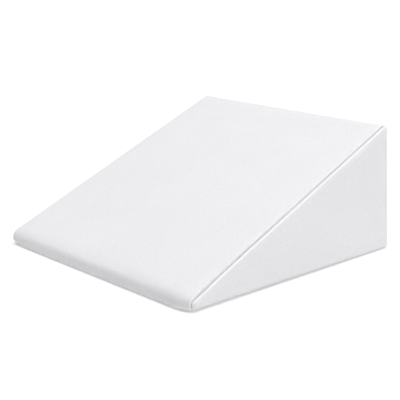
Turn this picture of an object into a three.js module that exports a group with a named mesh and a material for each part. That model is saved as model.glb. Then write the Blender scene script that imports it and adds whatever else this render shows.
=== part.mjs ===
import * as THREE from 'three';

// A wedge-shaped foam bed pillow in a fitted cloth cover, lying on its base.
// Millimetres, +Z up, the low toe towards -Y and the tall back towards +Y.
// The origin is the middle of the base.

// Driving dimensions
const width = 610;        // over both side panels, along the base
const depth = 614;        // toe to back, over the back's crown
const peakHeight = 290;   // where the slope would meet the back with no rounding
const toeHeight = 28;     // where the slope would meet the toe's face with no rounding
const drawIn = 18;        // how far each side leans in at the top of the back
const slopeCrown = 3;
const backCrown = 2;
const sideCrown = 2;
const cloth = 2.5;        // thickness of the cover's padded knit
const gap = 0.3;          // between pieces that touch
const edgeRadius = 8;     // rounding between the side panels and the wrap panel
const grooveDepth = 1.8;  // how far the seam dips below the rounding
const toeSetBack = 5;     // how much further the seam sits behind the toe's nose

// Rounding of the four corners of the wedge's outline
const toeBottomRadius = 9;
const backBottomRadius = 10;
const backTopRadius = 15;
const toeTopRadius = 21;
const smallestRadius = 1;

// How finely the surfaces are divided. The base and the slope share one count, the toe and
// the back the other, so that a side's outline fills as an even grid.
const lengthSteps = 14;
const heightSteps = 6;
const cornerSteps = 4;
const edgeSteps = 3;
const acrossSteps = 14;

// Soft swells, and hollows where the rise is negative, of the side panels
const sideUnevenness = [
  { y: 40, z: 90, spread: 60, rise: 1.3 },
  { y: -90, z: 82, spread: 36, rise: -2.0 },
  { y: -30, z: 120, spread: 30, rise: -1.2 },
  { y: 190, z: 60, spread: 70, rise: 0.9 },
  { y: 240, z: 200, spread: 50, rise: -1.2 },
  { y: -190, z: 40, spread: 40, rise: 0.8 },
];

// The same for the slope, x and y seen from above
const slopeUnevenness = [
  { x: -150, y: -150, spread: 90, rise: -1.8 },
  { x: 90, y: -230, spread: 85, rise: 1.4 },
  { x: 190, y: -120, spread: 70, rise: -1.0 },
  { x: 40, y: 130, spread: 120, rise: 0.9 },
  { x: -210, y: 80, spread: 70, rise: -0.9 },
];

const coverWhite = 0xf2f3f7;
const clothRoughness = 0.92;

const toeY = -depth / 2;
const backY = depth / 2 - backCrown;
const slopeAngle = Math.atan2(peakHeight - toeHeight, backY - toeY);

// Which way each face of the wrap panel swells, in Y and Z
const crowns = {
  base: { rise: 0, y: 0, z: -1 },
  back: { rise: backCrown, y: 1, z: 0 },
  slope: { rise: slopeCrown, y: -Math.sin(slopeAngle), z: Math.cos(slopeAngle) },
  toe: { rise: 0, y: -1, z: 0 },
};

function slopeZ(y) {
  return toeHeight + (y - toeY) * Math.tan(slopeAngle);
}

// Half the width at a place on the side: upright along the base and at the toe, and leaning in
// evenly to the top of the back, so that the edge of the slope stays straight
function halfWidth(y, z) {
  const towardsBack = THREE.MathUtils.clamp((y - toeY) / (backY - toeY), 0, 1);
  const up = THREE.MathUtils.clamp(z / slopeZ(y), 0, 1);
  return width / 2 - drawIn * towardsBack * up;
}

function unevenness(bumps, distanceTo) {
  let total = 0;
  for (const bump of bumps) {
    total += bump.rise * Math.exp(-((distanceTo(bump) / bump.spread) ** 2));
  }
  return total;
}

function arcPoints(before, corner, after, radius) {
  const into = new THREE.Vector2(corner.y - before.y, corner.z - before.z).normalize();
  const out = new THREE.Vector2(after.y - corner.y, after.z - corner.z).normalize();
  const turn = Math.acos(into.dot(out));
  const tangent = radius * Math.tan(turn / 2);
  const centreY = corner.y - into.x * tangent - into.y * radius;
  const centreZ = corner.z - into.y * tangent + into.x * radius;
  const points = [];
  for (let step = 0; step <= cornerSteps; step += 1) {
    const angle = (turn * step) / cornerSteps;
    const spokeY = into.y * Math.cos(angle) + into.x * Math.sin(angle);
    const spokeZ = into.y * Math.sin(angle) - into.x * Math.cos(angle);
    points.push({ y: centreY + spokeY * radius, z: centreZ + spokeZ * radius });
  }
  return points;
}

// The wedge's outline in the YZ plane, pulled in by `inset` and at the toe by `toeInset`. It
// starts in the middle of the toe's bottom corner and runs along the base, up the back, down
// the slope and down the toe. `along` goes from 0 to 1 over each flat face.
function outline(inset, toeInset) {
  const front = toeY + toeInset;
  const back = backY - inset;
  const drop = inset / Math.cos(slopeAngle);
  const corners = [
    { y: front, z: inset, radius: toeBottomRadius, steps: lengthSteps, face: 'base' },
    { y: back, z: inset, radius: backBottomRadius, steps: heightSteps, face: 'back' },
    { y: back, z: slopeZ(back) - drop, radius: backTopRadius, steps: lengthSteps, face: 'slope' },
    { y: front, z: slopeZ(front) - drop, radius: toeTopRadius, steps: heightSteps, face: 'toe' },
  ];
  const arcs = corners.map((corner, index) => {
    const radius = Math.max(corner.radius - inset, smallestRadius);
    return arcPoints(corners.at(index - 1), corner, corners[(index + 1) % corners.length], radius);
  });
  const points = [];
  corners.forEach(({ steps, face }, index) => {
    const start = arcs[index].at(-1);
    const end = arcs[(index + 1) % arcs.length][0];
    for (const { y, z } of arcs[index]) {
      points.push({ y, z, face, along: 0 });
    }
    for (let step = 1; step < steps; step += 1) {
      const along = step / steps;
      const y = THREE.MathUtils.lerp(start.y, end.y, along);
      const z = THREE.MathUtils.lerp(start.z, end.z, along);
      points.push({ y, z, face, along });
    }
  });
  const cornerMiddle = cornerSteps / 2;
  return [...points.slice(cornerMiddle), ...points.slice(0, cornerMiddle)];
}

// A place on the edge's rounding, `angle` from the wrap panel's face towards the side, at
// `radius` from the rounding's centre
function onEdge(angle, radius, seamShare = 1) {
  return {
    inset: edgeRadius - radius * Math.cos(angle),
    fromSide: edgeRadius - radius * Math.sin(angle),
    seamShare,
  };
}

function edgeRing({ inset, fromSide, seamShare }, side) {
  return outline(inset, inset + toeSetBack * seamShare).map(({ y, z }) => {
    const x = side * (halfWidth(y, z) - fromSide);
    return new THREE.Vector3(x, y, z);
  });
}

// The seam lies halfway round the rounding, between two lips
const seamAngle = Math.PI / 4;
const lipAngle = THREE.MathUtils.degToRad(9);
const sideAngle = Math.PI / 2;

// The wrap panel's edge: round to its lip, down into the seam, and on under the side panel
function wrapEdge(side) {
  const rings = [];
  const end = seamAngle - lipAngle;
  for (let step = 0; step <= edgeSteps; step += 1) {
    const angle = (end * step) / edgeSteps;
    rings.push(onEdge(angle, edgeRadius, angle / seamAngle));
  }
  const underPanel = edgeRadius - cloth - gap;
  rings.push(onEdge(seamAngle, edgeRadius - grooveDepth));
  rings.push(onEdge(seamAngle, underPanel));
  rings.push(onEdge(sideAngle, underPanel));
  return rings.map((ring) => edgeRing(ring, side));
}

// One face of the side panel's curled edge, from the lip to the side
function panelCurl(radius, side) {
  const rings = [];
  for (let step = 0; step <= edgeSteps; step += 1) {
    const angle = THREE.MathUtils.lerp(seamAngle + lipAngle, sideAngle, step / edgeSteps);
    rings.push(edgeRing(onEdge(angle, radius), side));
  }
  return rings;
}

// The wrap panel between its edges, crowned on the slope and the back
function acrossRings() {
  const rings = [];
  for (let step = 1; step < acrossSteps; step += 1) {
    const share = (2 * step) / acrossSteps - 1;
    rings.push(outline(0, 0).map(({ y, z, face, along }) => {
      const x = share * (halfWidth(y, z) - edgeRadius);
      const crown = crowns[face];
      const fade = Math.cos((Math.PI / 2) * share) * Math.sin(Math.PI * along);
      const bumps = unevenness(slopeUnevenness, (bump) => Math.hypot(x - bump.x, y - bump.y));
      const proud = fade * (crown.rise + (face === 'slope' ? bumps : 0));
      return new THREE.Vector3(x, y + crown.y * proud, z + crown.z * proud);
    }));
  }
  return rings;
}

const gridLength = lengthSteps + cornerSteps;
const gridHeight = heightSteps + cornerSteps;

// A ring's point on the border of the grid that fills it
function borderIndex(column, row) {
  const count = 2 * (gridLength + gridHeight);
  if (row === 0) {
    return column;
  }
  if (column === gridLength) {
    return gridLength + row;
  }
  if (row === gridHeight) {
    return 2 * gridLength + gridHeight - column;
  }
  return (count - row) % count;
}

// How far along a side of the border each of its points lies, from 0 to 1
function sharesAlong(points) {
  const lengths = [0];
  for (let index = 1; index < points.length; index += 1) {
    lengths.push(lengths.at(-1) + points[index].distanceTo(points[index - 1]));
  }
  return lengths.map((length) => length / lengths.at(-1));
}

// The four sides of the border, and what share of the way over the grid each line of points
// lies, taken as the mean of the two sides that it joins
function gridSides(border) {
  const at = (column, row) => border[borderIndex(column, row)];
  const columns = Array.from({ length: gridLength + 1 }, (_, column) => column);
  const rows = Array.from({ length: gridHeight + 1 }, (_, row) => row);
  const low = columns.map((column) => at(column, 0));
  const high = columns.map((column) => at(column, gridHeight));
  const front = rows.map((row) => at(0, row));
  const back = rows.map((row) => at(gridLength, row));
  const mean = (one, other) => one.map((share, index) => (share + other[index]) / 2);
  return {
    low,
    high,
    front,
    back,
    alongShares: mean(sharesAlong(low), sharesAlong(high)),
    upShares: mean(sharesAlong(front), sharesAlong(back)),
  };
}

// A point inside the border, blended from its four sides
function blended(sides, column, row) {
  const along = sides.alongShares[column];
  const up = sides.upShares[row];
  const between = (one, other, share) => new THREE.Vector3().lerpVectors(one, other, share);
  const lowCorners = between(sides.low[0], sides.low.at(-1), along);
  const highCorners = between(sides.high[0], sides.high.at(-1), along);
  return between(sides.low[column], sides.high[column], up)
    .add(between(sides.front[row], sides.back[row], along))
    .sub(between(lowCorners, highCorners, up));
}

// The swell of a side: nothing at its edge, most in the middle
function sideFade(y, z) {
  const front = toeY + edgeRadius + toeSetBack;
  const back = backY - edgeRadius;
  const top = slopeZ(y) - edgeRadius / Math.cos(slopeAngle);
  const along = THREE.MathUtils.clamp((y - front) / (back - front), 0, 1);
  const up = THREE.MathUtils.clamp((z - edgeRadius) / (top - edgeRadius), 0, 1);
  return Math.sin(Math.PI * along) * Math.sin(Math.PI * up);
}

// The points inside a side's outline, swelling a little and uneven
function sideGrid(border, fromSide, side) {
  const sides = gridSides(border);
  const points = [];
  for (let row = 1; row < gridHeight; row += 1) {
    for (let column = 1; column < gridLength; column += 1) {
      const { y, z } = blended(sides, column, row);
      const bumps = unevenness(sideUnevenness, (bump) => Math.hypot(y - bump.y, z - bump.z));
      const x = halfWidth(y, z) - fromSide + sideFade(y, z) * (sideCrown + bumps);
      points.push(new THREE.Vector3(side * x, y, z));
    }
  }
  return points;
}

// A closed skin over rings, with a grid of points filling the first ring and the last
function closedSkin(rings, firstGrid, lastGrid) {
  const count = rings[0].length;
  const points = rings.flat();
  const triangles = [];
  const addQuad = (a, b, c, d) => triangles.push(a, b, c, a, c, d);
  for (let ring = 0; ring + 1 < rings.length; ring += 1) {
    for (let index = 0; index < count; index += 1) {
      const here = ring * count + index;
      const beside = ring * count + ((index + 1) % count);
      addQuad(here, beside, beside + count, here + count);
    }
  }
  const fill = (ringStart, grid, facesOut) => {
    const gridStart = points.length;
    points.push(...grid);
    const at = (column, row) => {
      const onBorder = row === 0 || row === gridHeight || column === 0 || column === gridLength;
      if (onBorder) {
        return ringStart + borderIndex(column, row);
      }
      return gridStart + (row - 1) * (gridLength - 1) + column - 1;
    };
    for (let row = 0; row < gridHeight; row += 1) {
      for (let column = 0; column < gridLength; column += 1) {
        const start = at(column, row);
        const beside = at(column + 1, row);
        const across = at(column + 1, row + 1);
        const above = at(column, row + 1);
        if (facesOut) {
          addQuad(start, beside, across, above);
        } else {
          addQuad(start, above, across, beside);
        }
      }
    }
  };
  fill(0, firstGrid, false);
  fill((rings.length - 1) * count, lastGrid, true);
  const geometry = new THREE.BufferGeometry().setFromPoints(points);
  geometry.setIndex(triangles);
  geometry.computeVertexNormals();
  return geometry;
}

function cushionGeometry() {
  const left = wrapEdge(-1);
  const right = wrapEdge(1);
  const leftGrid = sideGrid(left.at(-1), cloth + gap, -1);
  const rightGrid = sideGrid(right.at(-1), cloth + gap, 1);
  return closedSkin([...left.reverse(), ...acrossRings(), ...right], leftGrid, rightGrid);
}

function panelGeometry(side) {
  const inner = panelCurl(edgeRadius - cloth, side);
  const outer = panelCurl(edgeRadius, side);
  const innerGrid = sideGrid(inner.at(-1), cloth, side);
  const outerGrid = sideGrid(outer.at(-1), 0, side);
  const rings = [...inner.reverse(), ...outer];
  if (side > 0) {
    return closedSkin(rings, innerGrid, outerGrid);
  }
  return closedSkin(rings.reverse(), outerGrid, innerGrid);
}

function clothPiece(name, geometry) {
  const material = new THREE.MeshStandardMaterial({
    color: coverWhite,
    roughness: clothRoughness,
    metalness: 0,
  });
  const mesh = new THREE.Mesh(geometry, material);
  mesh.name = name;
  return mesh;
}

const group = new THREE.Group();
group.add(clothPiece('wedge_cushion', cushionGeometry()));
group.add(clothPiece('side_panel_right', panelGeometry(1)));
group.add(clothPiece('side_panel_left', panelGeometry(-1)));

export default group;
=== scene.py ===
import math

import bmesh
import bpy
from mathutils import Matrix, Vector


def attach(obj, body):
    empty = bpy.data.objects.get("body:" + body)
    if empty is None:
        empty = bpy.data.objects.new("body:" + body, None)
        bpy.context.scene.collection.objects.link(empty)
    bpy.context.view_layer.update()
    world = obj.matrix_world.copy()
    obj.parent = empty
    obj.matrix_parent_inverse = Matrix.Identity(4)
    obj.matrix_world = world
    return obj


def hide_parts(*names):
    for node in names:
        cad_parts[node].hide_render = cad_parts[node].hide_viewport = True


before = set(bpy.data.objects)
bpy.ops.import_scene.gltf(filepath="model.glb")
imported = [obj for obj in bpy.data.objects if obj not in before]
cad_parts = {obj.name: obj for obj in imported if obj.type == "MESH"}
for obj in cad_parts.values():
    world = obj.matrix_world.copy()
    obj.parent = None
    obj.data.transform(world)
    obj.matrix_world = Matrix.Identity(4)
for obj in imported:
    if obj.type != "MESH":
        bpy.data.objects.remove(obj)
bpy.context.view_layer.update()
print("frame loaded")

# Places nearer than tiny are the same place, and what is nearer than close to a face lies on it
tiny = 1e-5
close = 1e-4

# Where the photo was taken from, in metres and degrees
view = {
    "azimuth": 47.243,
    "elevation": 14.978,
    "distance": 2.27427,
    "across": 0.00255,  # the middle of the view, to the right of the base's middle
    "up": 0.10426,  # and above it
    "lens": 89.57,
    "sensor": 36.0,
}


def placeCamera():
    azimuth = math.radians(view["azimuth"])
    elevation = math.radians(view["elevation"])
    right = Vector((math.cos(azimuth), math.sin(azimuth), 0))
    level = math.cos(elevation)
    back = Vector((math.sin(azimuth) * level, -math.cos(azimuth) * level, math.sin(elevation)))
    up = back.cross(right)
    place = back * view["distance"] + right * view["across"] + up * view["up"]
    turn = (-back).to_track_quat("-Z", "Y").to_euler()
    bpy.ops.object.camera_add(location=place, rotation=turn)
    camera = bpy.context.object
    camera.data.sensor_width = view["sensor"]
    camera.data.lens = view["lens"]
    bpy.context.scene.camera = camera


placeCamera()
print("camera placed")


# The pillow's cover, sewn from a wrap panel and two side panels, in metres
wedge = {
    "halfWidth": 0.305,
    "toeY": -0.307,
    "backY": 0.305,
    "peakHeight": 0.290,  # where the slope would meet the back with no rounding
    "toeHeight": 0.028,
    "drawIn": 0.018,  # how far each side leans in at the top of the back
    "corners": {"toeBottom": 0.010, "backBottom": 0.010, "backTop": 0.015, "toeTop": 0.021},
    "tightest": 0.001,
    "lengthSteps": 30,
    "heightSteps": 8,
    "cornerSteps": 4,
    "acrossSteps": 15,
}

# How the wrap panel rounds over to a side panel: each line lies this far below the wrap panel's
# face, and this far in from the side. Each face of the wedge takes its own share of the first.
edge = {
    "lines": [
        (0.0, 0.0170), (-0.0001, 0.0110), (-0.00025, 0.0078), (-0.0001, 0.0063), (0.0009, 0.0055),
        (0.0027, 0.0051), (0.0046, 0.0049), (0.0064, 0.0048), (0.0069, 0.0046), (0.0077, 0.0028),
        (0.0090, 0.0015), (0.0111, 0.0006), (0.0138, 0.00015), (0.0170, 0.0),
    ],
    "seamLine": 7,
    "lipLine": 8,
    "share": {"base": 0.45, "back": 0.45, "slopeTop": 0.86, "slopeEnd": 1.25, "toe": 0.48},
    "rollShare": 0.75,  # the most that any face takes of the side panel's own rolled edge
    "highlightWeights": [1.0, 1.0, 0.7, 0.3, 0.1],  # how strongly the side panel's rolled edge is painted with a whiter highlight, on each line from the lip outward
    "highlightAbove": 0.012,  # and the painted highlight goes only above this height
    "tighten": 2.2,  # how much faster the corners narrow than the section does
    "heldBelow": 0.008,  # the cover stays as it is laid up to this height
}

# How the toe's two ends are rounded back and tucked under, and the seam draws the base up
toeEnds = {
    "start": 0.268,  # across
    "end": 0.305,
    "endPower": 2,
    "back": 0.0095,
    "backFrom": -0.20,  # the rounding sets in here, and grows towards the toe
    "backOver": 0.10,
    "tuck": 0.003,
    "tuckFrom": -0.26,
    "tuckOver": 0.04,
    "low": 0.030,  # the tuck and the lift stay below this height
    "lowPower": 1.5,
    "lift": 0.0045,  # how far the bottom edge comes off the floor at the toe
    "liftFrom": 0.272,
    "liftPower": 0.7,
    "liftAtBack": 0.3,  # the share of the lift at the back
    "leftShare": 0.45,  # how much of the rounding and the tuck the left end has
    "leftFuller": 0.0028,  # how far its crest stands out, about this place
    "crest": (-0.2930, 0.0335),
    "crestSpread": 0.018,
    "crestWay": (0, -0.60, 0.80),
}

slopeAngle = math.atan2(wedge["peakHeight"] - wedge["toeHeight"], wedge["backY"] - wedge["toeY"])


def slopeHeight(y):
    return wedge["toeHeight"] + (y - wedge["toeY"]) * math.tan(slopeAngle)


def clamp(value, low=0.0, high=1.0):
    return max(low, min(high, value))


def middle(part):
    if isinstance(part, bmesh.types.BMVert):
        return part.co
    if isinstance(part, bmesh.types.BMEdge):
        return (part.verts[0].co + part.verts[1].co) / 2
    return part.calc_center_median()


def choose(kind, test):
    # In edit mode: selects the vertices, edges or faces that pass the test, and says how many
    bpy.ops.mesh.select_mode(type=kind)
    bpy.ops.mesh.select_all(action="DESELECT")
    piece = bpy.context.edit_object
    shape = bmesh.from_edit_mesh(piece.data)
    parts = {"VERT": shape.verts, "EDGE": shape.edges, "FACE": shape.faces}[kind]
    chosen = [part for part in parts if test(part)]
    for part in chosen:
        part.select_set(True)
    shape.select_flush_mode()
    bmesh.update_edit_mesh(piece.data)
    return len(chosen)


def startPiece(piece):
    bpy.ops.object.select_all(action="DESELECT")
    piece.select_set(True)
    bpy.context.view_layer.objects.active = piece


def applyModifier(piece, kind, **settings):
    startPiece(piece)
    bpy.ops.object.modifier_add(type=kind)
    modifier = piece.modifiers[-1]
    for name, value in settings.items():
        setattr(modifier, name, value)
    bpy.ops.object.modifier_apply(modifier=modifier.name)


faces = ["base", "back", "slope", "toe"]


def stepsAlong(face):
    return wedge["lengthSteps"] if face in ("base", "slope") else wedge["heightSteps"]


def outline(inset=0.0):
    # The wedge's section pulled in by an inset: its four roundings, each with the straight that
    # follows it, anticlockwise from the toe's bottom corner
    sewn = min(inset, edge["lines"][edge["seamLine"]][0])
    pull = {part: sewn * share + (inset - sewn) * min(share, edge["rollShare"])
            for part, share in edge["share"].items()}
    front = wedge["toeY"] + pull["toe"]
    back = wedge["backY"] - pull["back"]
    corners = [
        ("toeBottom", Vector((0, front, pull["base"])), pull["toe"] + pull["base"]),
        ("backBottom", Vector((0, back, pull["base"])), pull["base"] + pull["back"]),
        ("backTop", Vector((0, back, slopeHeight(back) - pull["slopeTop"] / math.cos(slopeAngle))),
         pull["back"] + pull["slopeTop"]),
        ("toeTop", Vector((0, front, slopeHeight(front) - pull["slopeEnd"] / math.cos(slopeAngle))),
         pull["slopeEnd"] + pull["toe"]),
    ]
    found = []
    for index, (name, here, pulls) in enumerate(corners):
        into = (here - corners[index - 1][1]).normalized()
        out = (corners[(index + 1) % 4][1] - here).normalized()
        turn = into.angle(out)
        radius = max(wedge["corners"][name] - edge["tighten"] * pulls / 2, wedge["tightest"])
        reach = radius * math.tan(turn / 2)
        centre = here - into * reach + Vector((0, -into.z, into.y)) * radius
        found.append({"name": name, "corner": here, "into": into, "out": out, "turn": turn,
                      "radius": radius, "reach": reach, "centre": centre, "face": faces[index]})
    return found


def outlinePoints(inset=0.0):
    # The section's points in order, as many on each straight and rounding at every inset
    corners = outline(inset)
    points = []
    for index, corner in enumerate(corners):
        first = Vector((0, corner["into"].z, -corner["into"].y)) * corner["radius"]
        for step in range(wedge["cornerSteps"] + 1):
            angle = corner["turn"] * step / wedge["cornerSteps"]
            y = first.y * math.cos(angle) - first.z * math.sin(angle)
            z = first.y * math.sin(angle) + first.z * math.cos(angle)
            points.append(corner["centre"] + Vector((0, y, z)))
        after = corners[(index + 1) % 4]
        start, end = points[-1], after["corner"] - after["into"] * after["reach"]
        steps = stepsAlong(corner["face"])
        points += [start.lerp(end, step / steps) for step in range(1, steps)]
    return points


def sectionFace():
    # One face in the middle of the pillow, with the wedge's outline, facing +X
    bpy.ops.object.select_all(action="DESELECT")
    bpy.ops.mesh.primitive_plane_add(size=1, rotation=(0, math.pi / 2, 0))
    piece = bpy.context.object
    piece.name = "cushion"
    piece.data.name = "cushion"
    bpy.ops.object.transform_apply(location=True, rotation=True, scale=True)
    low, high = wedge["toeY"], wedge["backY"]
    bpy.ops.object.mode_set(mode="EDIT")
    bpy.ops.mesh.select_all(action="SELECT")
    bpy.ops.transform.resize(value=(1, high - low, wedge["peakHeight"]))
    bpy.ops.transform.translate(value=(0, (low + high) / 2, wedge["peakHeight"] / 2))
    choose("VERT", lambda vertex: vertex.co.y < 0 and vertex.co.z > wedge["peakHeight"] / 2)
    bpy.ops.transform.translate(value=(0, 0, wedge["toeHeight"] - wedge["peakHeight"]))
    for corner in outline():
        choose("VERT", lambda vertex: (vertex.co - corner["corner"]).length < close)
        bpy.ops.mesh.bevel(affect="VERTICES", offset_type="OFFSET", offset=corner["reach"],
                           segments=wedge["cornerSteps"], profile=0.5)
    for corner in outline():
        along = corner["out"]

        def onStraight(line):
            ends = [vertex.co - corner["corner"] for vertex in line.verts]
            return all((end - along * end.dot(along)).length < close for end in ends)

        choose("EDGE", onStraight)
        bpy.ops.mesh.subdivide(number_cuts=stepsAlong(corner["face"]) - 1)
    layRing(piece, 0.0, outlinePoints())
    return piece


def layRing(piece, across, points):
    # Puts the ring of points that lies this far across at these places, each point in its turn
    shape = bmesh.from_edit_mesh(piece.data)
    face = max((face for face in shape.faces if abs(middle(face).x - across) < tiny),
               key=lambda face: len(face.verts))
    ring = list(face.verts)
    low = min(range(len(ring)), key=lambda index: (ring[index].co - points[0]).length)
    ring = ring[low:] + ring[:low]
    if ring[1].co.z - ring[0].co.z > ring[-1].co.z - ring[0].co.z:
        ring = ring[:1] + ring[:0:-1]
    for vertex, point in zip(ring, points):
        vertex.co = Vector((across, point.y, point.z))
    bmesh.update_edit_mesh(piece.data)


def drawOut(piece):
    # The right half: straight out to the edge, round it line by line, then the side as a grid
    lines = edge["lines"]
    straight = wedge["halfWidth"] - lines[0][1]
    bpy.ops.mesh.select_mode(type="FACE")
    bpy.ops.mesh.select_all(action="SELECT")
    for _ in range(wedge["acrossSteps"]):
        bpy.ops.mesh.extrude_region_move(
            TRANSFORM_OT_translate={"value": (straight / wedge["acrossSteps"], 0, 0)})
    for before, after in zip(lines, lines[1:]):
        bpy.ops.mesh.inset(thickness=tiny, depth=before[1] - after[1])
        layRing(piece, wedge["halfWidth"] - after[1], outlinePoints(after[0]))
    choose("FACE", lambda face: len(face.verts) > 4)
    bpy.ops.mesh.delete(type="ONLY_FACE")
    choose("EDGE", lambda line: line.is_boundary and middle(line).x > straight)
    shape = bmesh.from_edit_mesh(piece.data)
    rim = [vertex for vertex in shape.verts if vertex.select]
    corner = min(rim, key=lambda vertex: vertex.co.y + vertex.co.z)
    shape.select_history.clear()
    shape.select_history.add(corner)
    bmesh.update_edit_mesh(piece.data)
    bpy.ops.mesh.fill_grid(span=wedge["lengthSteps"] + wedge["cornerSteps"], offset=0)
    bpy.ops.object.mode_set(mode="OBJECT")


def nameLines(piece):
    # The seam, the side panels, what the cover's settling leaves alone and the rolled edge that gets a
    # painted highlight keep a name, so that they can be picked again once they are bent
    seam = piece.vertex_groups.new(name="seam")
    panel = piece.vertex_groups.new(name="panel")
    held = piece.vertex_groups.new(name="held")
    paintedHighlight = piece.vertex_groups.new(name="paintedHighlight")
    seamX = wedge["halfWidth"] - edge["lines"][edge["seamLine"]][1]
    lipX = wedge["halfWidth"] - edge["lines"][edge["lipLine"]][1]
    for vertex in piece.data.vertices:
        across = abs(vertex.co.x)
        if abs(across - seamX) < tiny:
            seam.add([vertex.index], 1.0, "REPLACE")
        if across > lipX - tiny:
            panel.add([vertex.index], 1.0, "REPLACE")
        inward = wedge["halfWidth"] - across
        if vertex.co.z < edge["heldBelow"] or tiny < inward < edge["lines"][1][1] + tiny:
            held.add([vertex.index], 1.0, "REPLACE")
        # weights for the painted highlight: the rolled edge, above a height, is later painted whiter where
        # the light catches it
        for (_, line), weight in zip(edge["lines"][edge["lipLine"]:], edge["highlightWeights"]):
            if abs(inward - line) < tiny and vertex.co.z > edge["highlightAbove"]:
                paintedHighlight.add([vertex.index], weight, "REPLACE")


def wrapLength(place):
    # How far round the wrap panel a place lies, from the toe's bottom edge along the base
    travelled = 0.0
    best = (math.inf, 0.0)
    rounds = outline()
    flat = Vector((0, place.y, place.z))
    for index, here in enumerate(rounds):
        there = rounds[(index + 1) % 4]
        start = here["corner"] + here["out"] * here["reach"]
        length = (there["corner"] - here["corner"]).length - here["reach"] - there["reach"]
        along = clamp((flat - start).dot(here["out"]), 0, length)
        best = min(best, ((flat - start - here["out"] * along).length, travelled + along))
        travelled += length
        spoke = flat - there["centre"]
        first = there["corner"] - there["into"] * there["reach"] - there["centre"]
        angle = math.atan2(first.y * spoke.z - first.z * spoke.y, first.y * spoke.y + first.z * spoke.z)
        if 0 <= angle <= there["turn"]:
            best = min(best, (abs(spoke.length - there["radius"]), travelled + angle * there["radius"]))
        travelled += there["turn"] * there["radius"]
    return best[1], travelled


def layCloth(piece):
    # The knit's own map, in metres: round the wrap panel and across it, and flat on each side
    cloth = piece.data.uv_layers.new(name="cloth")
    lip = wedge["halfWidth"] - edge["lines"][edge["lipLine"]][1]
    lengths = {}
    for face in piece.data.polygons:
        onSide = abs(face.center.x) > lip
        spots = []
        for index in face.vertices:
            place = piece.data.vertices[index].co
            if onSide:
                spots.append([place.y, place.z])
                continue
            if index not in lengths:
                lengths[index] = wrapLength(place)
            along, total = lengths[index]
            spots.append([place.x, along])
        if not onSide and max(spot[1] for spot in spots) - min(spot[1] for spot in spots) > total / 2:
            for spot in spots:
                if spot[1] < total / 2:
                    spot[1] += total
        for loop, spot in zip(face.loop_indices, spots):
            cloth.data[loop].uv = spot


# Soft swells, and hollows where the rise is negative: each has its place, spread and rise
unevenness = {
    "side": [
        (0.055, 0.030, 0.100, 0.0062),
        (-0.090, 0.082, 0.036, -0.0020),
        (-0.030, 0.120, 0.030, -0.0012),
        (0.260, 0.230, 0.080, 0.0022),
        (-0.240, 0.050, 0.060, -0.0010),
    ],
    "slope": [
        (-0.150, -0.150, 0.090, -0.0018),
        (0.090, -0.230, 0.085, 0.0014),
        (0.190, -0.120, 0.070, -0.0010),
        (0.040, 0.130, 0.120, 0.0009),
        (-0.210, 0.080, 0.070, -0.0009),
    ],
    "slopeCrown": 0.0024,
    "backCrown": 0.0014,
    "sideCrown": 0.0012,
    "sideRim": 0.015,  # the side lies flat this near the slope
    "sidePower": 1.5,
}


def bumps(table, first, second):
    return sum(rise * math.exp(-(((first - u) ** 2 + (second - v) ** 2) / spread ** 2))
               for u, v, spread, rise in unevenness[table])


def shapeEnds(laid, place):
    # Where the toe's ends and the seam bring a place on from there, by where it was laid
    beyond = abs(laid.x)
    end = clamp((beyond - toeEnds["start"]) / (toeEnds["end"] - toeEnds["start"])) ** toeEnds["endPower"]
    aside = end if laid.x > 0 else end * toeEnds["leftShare"]
    if laid.x < 0:
        near = math.dist(laid.yz, toeEnds["crest"])
        fuller = end * toeEnds["leftFuller"] * math.exp(-(near / toeEnds["crestSpread"]) ** 2)
        place += Vector(toeEnds["crestWay"]) * fuller
    under = (1 - clamp(laid.z / toeEnds["low"])) ** toeEnds["lowPower"]
    place.y += aside * toeEnds["back"] * clamp((toeEnds["backFrom"] - laid.y) / toeEnds["backOver"])
    rise = clamp((beyond - toeEnds["liftFrom"]) / (toeEnds["end"] - toeEnds["liftFrom"]))
    along = clamp((laid.y - wedge["toeY"]) / (wedge["backY"] - wedge["toeY"]))
    share = 1 - (1 - toeEnds["liftAtBack"]) * along
    place.z += toeEnds["lift"] * rise ** toeEnds["liftPower"] * under * share
    place.y += aside * under * toeEnds["tuck"] * clamp((toeEnds["tuckFrom"] - laid.y) / toeEnds["tuckOver"])


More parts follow.
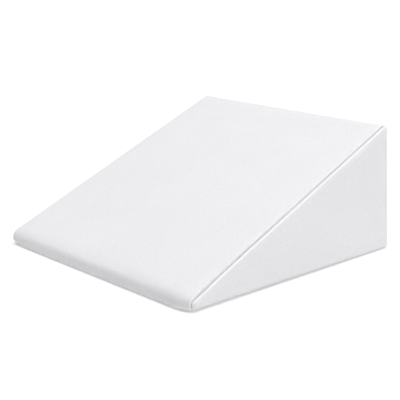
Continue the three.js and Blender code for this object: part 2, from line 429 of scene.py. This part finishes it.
def bendToShape(piece):
    # Leans the sides in, crowns each face and shapes the toe's ends
    straight = wedge["halfWidth"] - edge["lines"][0][1]
    low, high = wedge["toeY"], wedge["backY"]
    corners = {corner["name"]: corner for corner in outline()}
    flat = {corner["name"]: corner for corner in outline(edge["lines"][-1][0])}
    slopeStart = low + corners["toeTop"]["reach"] * math.cos(slopeAngle)
    slopeEnd = high - corners["backTop"]["reach"] * math.cos(slopeAngle)
    outward = Vector((0, -math.sin(slopeAngle), math.cos(slopeAngle)))
    backLow = corners["backBottom"]["reach"]
    backHigh = wedge["peakHeight"] - corners["backTop"]["reach"]
    front, floor = flat["toeBottom"]["corner"].yz
    back = flat["backBottom"]["corner"].y
    for vertex in piece.data.vertices:
        place = vertex.co.copy()
        side = math.copysign(1, place.x)
        beyond = abs(place.x)
        height = slopeHeight(place.y)
        lean = wedge["drawIn"] * clamp((place.y - low) / (high - low)) * clamp(place.z / height)
        if beyond <= straight:
            place.x *= (straight - lean) / straight
        else:
            place.x = side * (beyond - lean)
        across = math.cos(math.pi / 2 * clamp(beyond / straight))
        offSlope = (place - Vector((place.x, low, wedge["toeHeight"]))).dot(outward)
        if abs(offSlope) < close and slopeStart < place.y < slopeEnd:
            fade = across * math.sin(math.pi * (place.y - slopeStart) / (slopeEnd - slopeStart))
            place += outward * fade * (unevenness["slopeCrown"] + bumps("slope", place.x, place.y))
        if abs(place.y - high) < close and backLow < place.z < backHigh:
            fade = across * math.sin(math.pi * (place.z - backLow) / (backHigh - backLow))
            place.y += fade * unevenness["backCrown"]
        if beyond > wedge["halfWidth"] - tiny:
            ceiling = height - unevenness["sideRim"]
            along = clamp((place.y - front) / (back - front))
            up = clamp((place.z - floor) / max(ceiling - floor, tiny))
            fade = (math.sin(math.pi * along) * math.sin(math.pi * up)) ** unevenness["sidePower"]
            place.x += side * fade * (unevenness["sideCrown"] + bumps("side", place.y, place.z))
        shapeEnds(vertex.co, place)
        vertex.co = place
    piece.data.update()


# How the cover settles over its foam
settling = {
    "frames": 20,
    "quality": 5,
    "pressure": 4.0,
    "weight": 0.3,
    "tension": 15.0,
    "limit": 0.0012,  # the most that any place may move
}


def settle(piece):
    # Where it isn't held, the cover is blown out a little, and no place goes far from the foam
    before = [vertex.co.copy() for vertex in piece.data.vertices]
    startPiece(piece)
    bpy.ops.object.modifier_add(type="CLOTH")
    modifier = piece.modifiers[-1]
    cloth = modifier.settings
    cloth.quality = settling["quality"]
    cloth.mass = settling["weight"]
    cloth.tension_stiffness = settling["tension"]
    cloth.compression_stiffness = settling["tension"]
    cloth.use_pressure = True
    cloth.uniform_pressure_force = settling["pressure"]
    cloth.vertex_group_mass = "held"
    cloth.effector_weights.gravity = 0
    modifier.collision_settings.use_collision = False
    scene = bpy.context.scene
    for number in range(1, settling["frames"] + 1):
        scene.frame_set(number)
    bpy.ops.object.modifier_apply(modifier=modifier.name)
    scene.frame_set(1)
    most = 0.0
    for vertex, start in zip(piece.data.vertices, before):
        move = vertex.co - start
        most = max(most, move.length)
        if move.length > 0:
            move *= settling["limit"] * math.tanh(move.length / settling["limit"]) / move.length
        vertex.co = start + move
        vertex.co.z = max(vertex.co.z, 0.0)
    piece.data.update()
    print("cover settled, most", round(most, 5))


cushion = sectionFace()
drawOut(cushion)
applyModifier(cushion, "MIRROR", use_mirror_merge=True, merge_threshold=tiny)
nameLines(cushion)
layCloth(cushion)
bendToShape(cushion)
applyModifier(cushion, "SUBSURF", levels=1, render_levels=1)
settle(cushion)
print("cover shaped")


# The seam between the wrap panel and each side panel
seamPress = {
    "depth": 0.0042,
    "under": 0.0034,  # how far the foam lies under the side panel's face
    "panelThickness": 0.0025,
    "wholly": 0.99,  # the least weight of a place that lies wholly in a group
}


def inGroup(piece, name):
    index = piece.vertex_groups[name].index
    return {vertex.index for vertex in piece.data.vertices
            if any(entry.group == index and entry.weight > seamPress["wholly"] for entry in vertex.groups)}


def cutPanels(piece):
    # Lifts the side panels off as pieces of their own, and presses the foam in along the seam and
    # under them
    seam = inGroup(piece, "seam")
    panel = inGroup(piece, "panel")
    startPiece(piece)
    bpy.ops.object.mode_set(mode="EDIT")
    panels = []
    for name, side in (("sidePanelRight", 1), ("sidePanelLeft", -1)):
        choose("FACE", lambda face: all(v.index in panel for v in face.verts) and middle(face).x * side > 0)
        bpy.ops.mesh.duplicate()
        bpy.ops.mesh.separate(type="SELECTED")
        new = [other for other in bpy.context.selected_objects if other != piece][0]
        new.name = name
        new.data.name = name
        new.select_set(False)
        panels.append(new)
    choose("VERT", lambda vertex: vertex.index in seam)
    bpy.ops.transform.shrink_fatten(value=-seamPress["depth"])
    choose("FACE", lambda face: all(v.index in panel for v in face.verts))
    bpy.ops.transform.shrink_fatten(value=-seamPress["under"])
    bpy.ops.object.mode_set(mode="OBJECT")
    return panels


def markPaintedHighlight(piece):
    # The rolled edge of a side panel, as a value for the painted highlight that whitens its cloth
    index = piece.vertex_groups["paintedHighlight"].index
    paintedHighlight = piece.data.attributes.new("rolledEdgeHighlight", "FLOAT", "POINT")
    for vertex in piece.data.vertices:
        paintedHighlight.data[vertex.index].value = sum(entry.weight for entry in vertex.groups if entry.group == index)


def finishPiece(piece):
    startPiece(piece)
    bpy.ops.object.shade_smooth()
    print(piece.name, len(piece.data.polygons) * 2, "triangles")


sidePanelRight, sidePanelLeft = cutPanels(cushion)
for panel in (sidePanelRight, sidePanelLeft):
    applyModifier(panel, "SOLIDIFY", thickness=seamPress["panelThickness"], offset=-1, use_even_offset=True)
for piece in (cushion, sidePanelRight, sidePanelLeft):
    applyModifier(piece, "SUBSURF", levels=1, render_levels=1)
    markPaintedHighlight(piece)
    finishPiece(piece)
print("panels cut and sewn")


class Wire:
    # One value in a material, so that maths on it reads as plain sums
    def __init__(self, tree, socket):
        self.tree = tree
        self.socket = socket

    def maths(self, operation, *values):
        node = self.tree.nodes.new("ShaderNodeMath")
        node.operation = operation
        for slot, value in zip(node.inputs, values):
            plug(self.tree, slot, value)
        return Wire(self.tree, node.outputs[0])

    def __add__(self, other):
        return self.maths("ADD", self, other)

    def __radd__(self, other):
        return self.maths("ADD", other, self)

    def __sub__(self, other):
        return self.maths("SUBTRACT", self, other)

    def __rsub__(self, other):
        return self.maths("SUBTRACT", other, self)

    def __mul__(self, other):
        return self.maths("MULTIPLY", self, other)

    def __rmul__(self, other):
        return self.maths("MULTIPLY", other, self)

    def __truediv__(self, other):
        return self.maths("DIVIDE", self, other)

    def __rtruediv__(self, other):
        return self.maths("DIVIDE", other, self)


def plug(tree, slot, value):
    if isinstance(value, Wire):
        tree.links.new(value.socket, slot)
    else:
        slot.default_value = value


class Cloth:
    # A material being put together
    def __init__(self, name):
        self.material = bpy.data.materials.new(name)
        self.material.use_nodes = True
        self.tree = self.material.node_tree
        self.tree.nodes.clear()

    def node(self, kind, settings=None, **values):
        made = self.tree.nodes.new("ShaderNode" + kind)
        for name, setting in (settings or {}).items():
            setattr(made, name, setting)
        for name, value in values.items():
            plug(self.tree, made.inputs[name.replace("_", " ")], value)
        return made

    def wire(self, made, output):
        return Wire(self.tree, made.outputs[output])

    def blend(self, factor, first, second):
        # One colour that goes over to another as the factor rises
        mix = self.node("Mix", {"data_type": "RGBA"})
        plug(self.tree, mix.inputs["Factor"], factor)
        colourIn = [slot for slot in mix.inputs if slot.type == "RGBA"]
        plug(self.tree, colourIn[0], first)
        plug(self.tree, colourIn[1], second)
        return Wire(self.tree, [slot for slot in mix.outputs if slot.type == "RGBA"][0])


# The cover's knit. Lengths are in metres on the cloth's own map.
knit = {
    "white": (0.825, 0.825, 0.842),
    "shade": (0.745, 0.745, 0.763),
    # a painted highlight: the whiter cloth colour on the side panels' rolled edge, where the light catches
    # it
    "highlightWhite": (0.825, 0.825, 0.84),
    "wale": 0.0016,  # across a column of stitches
    "course": 0.0013,  # along it
    "slant": 1.6,  # how steeply the two legs of a stitch rise
    "legs": 0.3,
    "rows": 0.35,
    "stitchHeight": 0.00012,
    "pebbleSize": 0.0042,
    "pebbleHeight": 0.00050,
    "pebbleTone": 1.6,
    "patchScale": 9.0,  # the broad unevenness of the white
    "patchTone": 0.5,
    "bumpStrength": 0.6,
    "roughness": 0.88,
    "specular": 0.25,
    "sheen": 0.15,
    "sheenRoughness": 0.5,
}


def knitCloth(name):
    cloth = Cloth(name)
    spot = cloth.node("UVMap", {"uv_map": "cloth"})
    place = cloth.node("TexCoord")
    parts = cloth.node("SeparateXYZ", Vector=cloth.wire(spot, "UV"))
    across, along = cloth.wire(parts, "X"), cloth.wire(parts, "Y")
    # stitches: two slanting legs in each column, over a pebbled unevenness
    column = across / knit["wale"]
    row = along / knit["course"]
    inColumn = column.maths("FRACT", column) - 0.5
    half = inColumn.maths("ABSOLUTE", inColumn)
    leg = half.maths("COSINE", (half * 2 - 0.5) * (2 * math.pi))
    wave = row.maths("SINE", (row + half * knit["slant"]) * (2 * math.pi))
    stitch = leg * knit["legs"] + wave * knit["rows"]
    pebbles = cloth.node("TexNoise", {"noise_dimensions": "3D"}, Vector=cloth.wire(place, "Object"),
                         Scale=1 / knit["pebbleSize"], Detail=2.0, Roughness=0.55)
    pebble = cloth.wire(pebbles, "Fac")
    stitchBump = cloth.node("Bump", Height=stitch * knit["stitchHeight"],
                            Strength=knit["bumpStrength"], Distance=1.0)
    pebbleBump = cloth.node("Bump", Height=pebble * knit["pebbleHeight"],
                            Strength=knit["bumpStrength"], Distance=1.0,
                            Normal=cloth.wire(stitchBump, "Normal"))
    broad = cloth.node("TexNoise", {"noise_dimensions": "3D"}, Vector=cloth.wire(place, "Object"),
                       Scale=knit["patchScale"], Detail=2.0, Roughness=0.5)
    patch = cloth.wire(broad, "Fac")
    tone = (pebble - 0.5) * knit["pebbleTone"] + (patch - 0.5) * knit["patchTone"] + 0.5
    flat = cloth.blend(tone, (*knit["white"], 1), (*knit["shade"], 1))
    # the painted highlight: the rolled edge is mixed over to the whiter colour
    highlightWhite = cloth.node("Attribute", {"attribute_name": "rolledEdgeHighlight"})
    colour = cloth.blend(cloth.wire(highlightWhite, "Fac"), flat, (*knit["highlightWhite"], 1))
    shader = cloth.node("BsdfPrincipled", Base_Color=colour, Roughness=knit["roughness"],
                        Sheen_Weight=knit["sheen"], Sheen_Roughness=knit["sheenRoughness"],
                        Specular_IOR_Level=knit["specular"], Normal=cloth.wire(pebbleBump, "Normal"))
    cloth.node("OutputMaterial", Surface=cloth.wire(shader, "BSDF"))
    return cloth.material


wrapCloth = knitCloth("wrapKnit")
sideCloth = knitCloth("sideKnit")
for piece, material in ((cushion, wrapCloth), (sidePanelRight, sideCloth), (sidePanelLeft, sideCloth)):
    piece.data.materials.clear()
    piece.data.materials.append(material)
print("cloth made")


# A white studio: a little light all round, a faint broad lamp high up at the back on the right,
# and two soft far ones. Directions are degrees round from +X and up from the floor.
studio = {
    "skyStrength": 0.10,
    "keyPlace": (0.9, 0.7, 2.2),
    "keyAim": (0, 0, 0.12),
    "keySize": 2.0,
    "keyPower": 10.0,
    "farLamps": [("over", 0, 90, 2.32), ("right", 0, 45, 0.94)],
    "farSoftness": 60,
    "floorSize": 30.0,
    "floorWhite": (0.75, 0.75, 0.75),
    "floorGlow": 0.265,
    "floorRoughness": 0.9,
    "floorSpecular": 0.1,
}


def lightStudio():
    scene = bpy.context.scene
    world = bpy.data.worlds.new("studio")
    world.use_nodes = True
    sky = world.node_tree.nodes["Background"]
    sky.inputs["Color"].default_value = (1, 1, 1, 1)
    sky.inputs["Strength"].default_value = studio["skyStrength"]
    scene.world = world
    aim = Vector(studio["keyAim"]) - Vector(studio["keyPlace"])
    bpy.ops.object.light_add(type="AREA", location=studio["keyPlace"],
                             rotation=aim.to_track_quat("-Z", "Y").to_euler())
    key = bpy.context.object
    key.name = "keyLamp"
    key.data.shape = "DISK"
    key.data.size = studio["keySize"]
    key.data.energy = studio["keyPower"]
    for name, bearing, height, strength in studio["farLamps"]:
        bearing, height = math.radians(bearing), math.radians(height)
        towards = Vector((math.cos(bearing) * math.cos(height), math.sin(bearing) * math.cos(height),
                          math.sin(height)))
        bpy.ops.object.light_add(type="SUN", rotation=towards.to_track_quat("Z", "Y").to_euler())
        lamp = bpy.context.object
        lamp.name = name + "Lamp"
        lamp.data.energy = strength
        lamp.data.angle = math.radians(studio["farSoftness"])
    scene.view_settings.view_transform = "Standard"


def layFloor():
    bpy.ops.object.select_all(action="DESELECT")
    bpy.ops.mesh.primitive_plane_add(size=studio["floorSize"])
    floor = bpy.context.object
    floor.name = "floor"
    paint = Cloth("floorWhite")
    shader = paint.node("BsdfPrincipled", Base_Color=(*studio["floorWhite"], 1),
                        Roughness=studio["floorRoughness"], Specular_IOR_Level=studio["floorSpecular"],
                        Emission_Color=(1, 1, 1, 1), Emission_Strength=studio["floorGlow"])
    paint.node("OutputMaterial", Surface=paint.wire(shader, "BSDF"))
    floor.data.materials.append(paint.material)


lightStudio()
layFloor()
print("studio lit")

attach(cushion, "root")
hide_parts("wedge_cushion")
for panel, node in ((sidePanelRight, "side_panel_right"), (sidePanelLeft, "side_panel_left")):
    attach(panel, "root")
    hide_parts(node)
